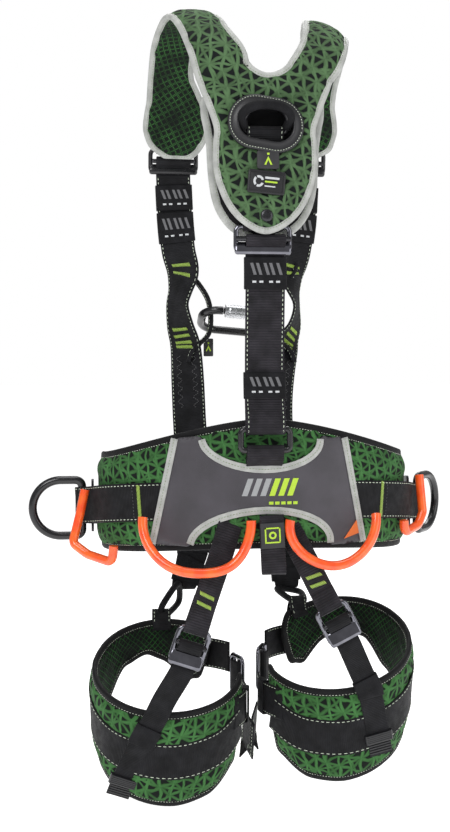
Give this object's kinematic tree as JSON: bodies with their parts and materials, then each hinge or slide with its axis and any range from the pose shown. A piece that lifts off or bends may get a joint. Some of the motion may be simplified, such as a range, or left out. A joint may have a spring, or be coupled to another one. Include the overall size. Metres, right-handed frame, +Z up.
{
  "type": "full body tree climbing harness",
  "caption": "Full-body tree climbing harness: padded shoulder yoke, padded work belt with side rings and gear loops, adjustable padded leg loops, dorsal ring and chest karabiner.",
  "frame": {"origin": "centre of the belt's waist opening, at the height of the belt's middle", "axes": "+Z up the wearer's body, +Y the way the wearer faces, +X to the wearer's right"},
  "size_m": [0.5321, 0.3198, 0.9352],
  "materials": {
    "black_webbing": "black woven polyester webbing with pale tracer stitches",
    "green_fabric": "printed green and black outer fabric",
    "mesh": "black and green spacer mesh",
    "panel": "smooth charcoal coated fabric",
    "trim": "black moulded trim",
    "elastic": "black printed elastic",
    "label": "black label tape",
    "orange": "glossy orange moulded tube",
    "dark_metal": "black anodised forging",
    "dark_steel": "black chromed steel",
    "silver": "bare knurled aluminium"
  },
  "bodies": {
    "harness": {"belt_pad": "green_fabric", "belt_back_panel": "panel", "belt_side_webbing": "black_webbing", "hip_brackets": "dark_steel", "belt_front_webbing": "black_webbing", "belt_adjusters": "dark_steel", "ventral_ring": "dark_metal", "left_shoulder_pad": "green_fabric", "right_shoulder_pad": "green_fabric", "left_front_strap": "black_webbing", "right_front_strap": "black_webbing", "shoulder_strap_keepers": "elastic", "shoulder_adjusters": "dark_steel", "chest_loops": "black_webbing", "waist_tab": "black_webbing", "waist_ring": "dark_steel", "yoke_cover_pad": "green_fabric", "yoke_back_pad": "mesh", "dorsal_opening_trim": "trim", "rubber_badge": "trim", "snap_stud": "dark_metal", "label_tabs": "label", "dorsal_webbing": "black_webbing", "back_strap": "black_webbing", "back_strap_keepers": "elastic", "back_adjuster_frame": "dark_steel", "back_adjuster_bar": "dark_steel", "leg_strap_anchors": "black_webbing"},
    "dorsal_ring": {"dorsal_ring": "dark_metal"},
    "left_side_ring": {"left_side_ring": "dark_metal"},
    "right_side_ring": {"right_side_ring": "dark_metal"},
    "restraint_loop": {"restraint_loop": "black_webbing"},
    "karabiner": {"karabiner_body": "dark_metal"},
    "karabiner_gate": {"karabiner_gate": "dark_metal"},
    "karabiner_sleeve": {"karabiner_sleeve": "silver"},
    "left_rear_gear_loop": {"left_rear_gear_loop": "orange"},
    "right_rear_gear_loop": {"right_rear_gear_loop": "orange"},
    "left_side_gear_loop": {"left_side_gear_loop": "orange"},
    "right_side_gear_loop": {"right_side_gear_loop": "orange"},
    "left_leg": {"left_leg_pad": "green_fabric", "left_leg_webbing": "black_webbing", "left_leg_inner_strap": "black_webbing", "left_leg_buckle": "dark_steel", "left_leg_strap": "black_webbing", "left_leg_adjuster_frame": "dark_steel", "left_leg_adjuster_bar": "dark_steel", "left_leg_front_strap": "black_webbing", "left_leg_link_ring": "dark_steel"},
    "right_leg": {"right_leg_pad": "green_fabric", "right_leg_webbing": "black_webbing", "right_leg_inner_strap": "black_webbing", "right_leg_buckle": "dark_steel", "right_leg_strap": "black_webbing", "right_leg_adjuster_frame": "dark_steel", "right_leg_adjuster_bar": "dark_steel", "right_leg_front_strap": "black_webbing", "right_leg_link_ring": "dark_steel"}
  },
  "joints": [
    {"name": "dorsal_ring_tilt", "type": "hinge", "parent": "harness", "child": "dorsal_ring", "pos_m": [-0.004, -0.141, 0.411], "axis": [1, 0, 0], "range_deg": [0, 20]},
    {"name": "left_side_ring_swing", "type": "hinge", "parent": "harness", "child": "left_side_ring", "pos_m": [-0.212, 0, -0.027], "axis": [0, 0, -1], "range_deg": [-30, 70]},
    {"name": "right_side_ring_swing", "type": "hinge", "parent": "harness", "child": "right_side_ring", "pos_m": [0.212, 0, -0.027], "axis": [0, 0, 1], "range_deg": [-82, 18]},
    {"name": "restraint_loop_lift", "type": "hinge", "parent": "harness", "child": "restraint_loop", "pos_m": [0.0045, -0.1395, -0.024], "axis": [-1, 0, 0], "range_deg": [0, 60]},
    {"name": "karabiner_swing", "type": "hinge", "parent": "harness", "child": "karabiner", "pos_m": [0, 0.121, 0.206], "axis": [0.9962, 0, -0.0872], "range_deg": [0, 30]},
    {"name": "gate_open", "type": "hinge", "parent": "karabiner", "child": "karabiner_gate", "pos_m": [0.02889, 0.09359, 0.21567], "axis": [-0.0797, -0.4054, -0.9106], "range_deg": [0, 22], "stiffness_Nm_per_rad": 0.02, "springref_deg": -17.19},
    {"name": "sleeve_turn", "type": "hinge", "parent": "karabiner_gate", "child": "karabiner_sleeve", "pos_m": [-0.00299, 0.09359, 0.21846], "axis": [0.9962, 0, -0.0872], "continuous": true},
    {"name": "left_rear_gear_loop_lift", "type": "hinge", "parent": "harness", "child": "left_rear_gear_loop", "pos_m": [-0.019, -0.142, -0.026], "axis": [-0.9779, 0.2084, 0.016], "range_deg": [0, 60]},
    {"name": "right_rear_gear_loop_lift", "type": "hinge", "parent": "harness", "child": "right_rear_gear_loop", "pos_m": [0.026, -0.142, -0.026], "axis": [-0.9767, -0.2139, -0.0186], "range_deg": [0, 60]},
    {"name": "left_side_gear_loop_lift", "type": "hinge", "parent": "harness", "child": "left_side_gear_loop", "pos_m": [-0.208, -0.024, -0.002], "axis": [-0.4004, 0.5536, 0.7302], "range_deg": [0, 25]},
    {"name": "right_side_gear_loop_lift", "type": "hinge", "parent": "harness", "child": "right_side_gear_loop", "pos_m": [0.208, -0.024, 0.012], "axis": [-0.4099, -0.6214, -0.6677], "range_deg": [0, 25]},
    {"name": "left_leg_swing", "type": "hinge", "parent": "harness", "child": "left_leg", "pos_m": [-0.054, -0.138, -0.068], "axis": [-0.0439, 0.9859, -0.1617], "range_deg": [0, 12]},
    {"name": "right_leg_swing", "type": "hinge", "parent": "harness", "child": "right_leg", "pos_m": [0.042, -0.138, -0.068], "axis": [-0.0598, -0.9851, 0.1615], "range_deg": [0, 12]}
  ]
}
